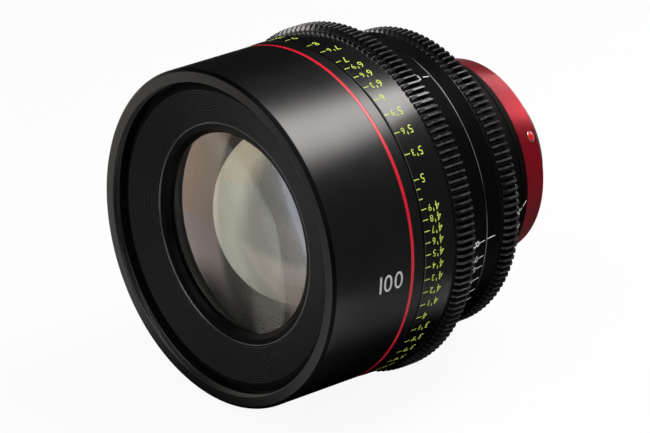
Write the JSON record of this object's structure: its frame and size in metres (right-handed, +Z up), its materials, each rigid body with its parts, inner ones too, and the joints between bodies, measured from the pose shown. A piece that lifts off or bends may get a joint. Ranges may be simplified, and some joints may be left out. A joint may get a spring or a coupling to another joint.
{
  "type": "cinema prime lens",
  "caption": "Cinema prime lens with geared focus and iris rings, a bladed iris, an inner focusing group moved by a cam sleeve, a recessed front glass and a three-lug bayonet mount.",
  "frame": {"origin": "centre of the mount flange's rear face, on the optical axis", "axes": "the optical axis lies along Y, with the front glass towards -Y and the mount towards +Y; +Z is up, and X is to the right as seen from the front"},
  "size_m": [0.1184, 0.1224, 0.1184],
  "materials": {
    "black_anodised": "satin black",
    "black_matt": "matt black",
    "accent_red": "red anodised",
    "collar_red": "crimson anodised",
    "optical_glass": "coated",
    "steel": "plain",
    "bearing_brass": "turned",
    "mount_chrome": "satin chrome",
    "blade_steel": "blackened"
  },
  "bodies": {
    "barrel": {"front_barrel": "black_anodised", "accent_ring": "accent_red", "front_collar": "black_anodised", "light_baffle": "black_matt", "front_retainer": "black_anodised", "front_element": "optical_glass", "front_spacer": "black_matt", "second_element": "optical_glass", "front_cell": "black_matt", "front_screws": "steel", "guide_tube": "steel", "focus_bush_front": "bearing_brass", "focus_bush_rear": "bearing_brass", "index_barrel": "black_anodised", "index_screws": "steel", "iris_base": "black_matt", "rear_barrel": "black_anodised", "rear_cell": "black_matt", "rear_element_a": "optical_glass", "rear_retainer_a": "black_anodised", "rear_element_b": "optical_glass", "rear_retainer_b": "black_anodised", "mount_collar": "collar_red", "index_bead": "accent_red", "bayonet_mount": "mount_chrome", "mount_screws": "steel", "rear_mask": "black_matt"},
    "focus": {"focus_ring": "black_anodised", "cam_sleeve": "bearing_brass", "cam_screws": "steel"},
    "focus_group": {"focus_cell": "black_matt", "focus_element_a": "optical_glass", "focus_spacer": "black_matt", "focus_element_b": "optical_glass", "focus_retainer": "black_anodised", "cam_followers": "bearing_brass"},
    "iris": {"iris_ring": "black_anodised", "iris_drive_pin": "steel", "iris_cam_ring": "bearing_brass"},
    "blade_01": {"iris_blade_01": "blade_steel"},
    "blade_02": {"iris_blade_02": "blade_steel"},
    "blade_03": {"iris_blade_03": "blade_steel"},
    "blade_04": {"iris_blade_04": "blade_steel"},
    "blade_05": {"iris_blade_05": "blade_steel"},
    "blade_06": {"iris_blade_06": "blade_steel"},
    "blade_07": {"iris_blade_07": "blade_steel"},
    "blade_08": {"iris_blade_08": "blade_steel"},
    "blade_09": {"iris_blade_09": "blade_steel"},
    "blade_10": {"iris_blade_10": "blade_steel"},
    "blade_11": {"iris_blade_11": "blade_steel"}
  },
  "joints": [
    {"name": "focus_turn", "type": "hinge", "parent": "barrel", "child": "focus", "pos_m": [0, -0.061, 0], "axis": [0, -1, 0], "range_deg": [0, 300]},
    {"name": "focus_slide", "type": "slide", "parent": "barrel", "child": "focus_group", "axis": [0, 1, 0], "range_m": [0, 0.015]},
    {"name": "iris_turn", "type": "hinge", "parent": "barrel", "child": "iris", "pos_m": [0, -0.031, 0], "axis": [0, -1, 0], "range_deg": [0, 60]},
    {"name": "blade_01_swing", "type": "hinge", "parent": "barrel", "child": "blade_01", "pos_m": [0.0326, -0.0292, 0], "axis": [0, -1, 0], "range_deg": [0, 32]},
    {"name": "blade_02_swing", "type": "hinge", "parent": "barrel", "child": "blade_02", "pos_m": [0.02742, -0.0292, 0.01762], "axis": [0, -1, 0], "range_deg": [0, 32]},
    {"name": "blade_03_swing", "type": "hinge", "parent": "barrel", "child": "blade_03", "pos_m": [0.01354, -0.0292, 0.02965], "axis": [0, -1, 0], "range_deg": [0, 32]},
    {"name": "blade_04_swing", "type": "hinge", "parent": "barrel", "child": "blade_04", "pos_m": [-0.00464, -0.0292, 0.03227], "axis": [0, -1, 0], "range_deg": [0, 32]},
    {"name": "blade_05_swing", "type": "hinge", "parent": "barrel", "child": "blade_05", "pos_m": [-0.02135, -0.0292, 0.02464], "axis": [0, -1, 0], "range_deg": [0, 32]},
    {"name": "blade_06_swing", "type": "hinge", "parent": "barrel", "child": "blade_06", "pos_m": [-0.03128, -0.0292, 0.00918], "axis": [0, -1, 0], "range_deg": [0, 32]},
    {"name": "blade_07_swing", "type": "hinge", "parent": "barrel", "child": "blade_07", "pos_m": [-0.03128, -0.0292, -0.00918], "axis": [0, -1, 0], "range_deg": [0, 32]},
    {"name": "blade_08_swing", "type": "hinge", "parent": "barrel", "child": "blade_08", "pos_m": [-0.02135, -0.0292, -0.02464], "axis": [0, -1, 0], "range_deg": [0, 32]},
    {"name": "blade_09_swing", "type": "hinge", "parent": "barrel", "child": "blade_09", "pos_m": [-0.00464, -0.0292, -0.03227], "axis": [0, -1, 0], "range_deg": [0, 32]},
    {"name": "blade_10_swing", "type": "hinge", "parent": "barrel", "child": "blade_10", "pos_m": [0.01354, -0.0292, -0.02965], "axis": [0, -1, 0], "range_deg": [0, 32]},
    {"name": "blade_11_swing", "type": "hinge", "parent": "barrel", "child": "blade_11", "pos_m": [0.02742, -0.0292, -0.01762], "axis": [0, -1, 0], "range_deg": [0, 32]}
  ],
  "couplings": [
    {"joint": "focus_slide", "follows": "focus_turn", "m_per_rad": 0.0028648},
    {"joint": "blade_01_swing", "follows": "iris_turn", "ratio": 0.53333},
    {"joint": "blade_02_swing", "follows": "iris_turn", "ratio": 0.53333},
    {"joint": "blade_03_swing", "follows": "iris_turn", "ratio": 0.53333},
    {"joint": "blade_04_swing", "follows": "iris_turn", "ratio": 0.53333},
    {"joint": "blade_05_swing", "follows": "iris_turn", "ratio": 0.53333},
    {"joint": "blade_06_swing", "follows": "iris_turn", "ratio": 0.53333},
    {"joint": "blade_07_swing", "follows": "iris_turn", "ratio": 0.53333},
    {"joint": "blade_08_swing", "follows": "iris_turn", "ratio": 0.53333},
    {"joint": "blade_09_swing", "follows": "iris_turn", "ratio": 0.53333},
    {"joint": "blade_10_swing", "follows": "iris_turn", "ratio": 0.53333},
    {"joint": "blade_11_swing", "follows": "iris_turn", "ratio": 0.53333}
  ]
}
